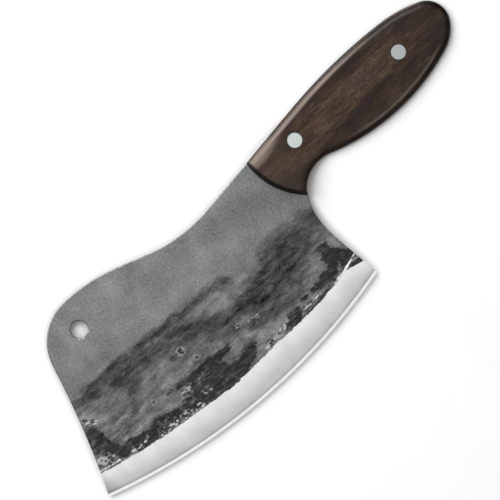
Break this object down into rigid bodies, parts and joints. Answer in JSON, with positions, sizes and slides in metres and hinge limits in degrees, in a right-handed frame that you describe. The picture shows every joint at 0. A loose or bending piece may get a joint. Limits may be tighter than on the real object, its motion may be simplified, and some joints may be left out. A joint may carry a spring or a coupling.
{
  "type": "meat cleaver",
  "caption": "Full-tang meat cleaver with a humped forged blade, curved ground edge, hanging hole in the nose and riveted dark wood grip with a finger notch.",
  "frame": {"origin": "centre of the hanging hole, in the blade's middle plane", "axes": "+X from the hole towards the butt of the handle, +Z towards the spine with the cutting edge facing down, +Y towards the cleaver's right side"},
  "size_m": [0.3001, 0.0228, 0.1126],
  "materials": {
    "forged_steel": "satin grey with black forge scale near the edge and a bright ground bevel",
    "grip_wood": "dark brown, oiled",
    "rivet_steel": "bright, ground flush",
    "bedding_resin": "dark resin"
  },
  "bodies": {
    "root": {"blade": "forged_steel", "left_scale": "grip_wood", "right_scale": "grip_wood", "left_bond_layer": "bedding_resin", "right_bond_layer": "bedding_resin", "front_rivet_post": "rivet_steel", "front_rivet_socket": "rivet_steel", "rear_rivet_post": "rivet_steel", "rear_rivet_socket": "rivet_steel"}
  },
  "joints": []
}
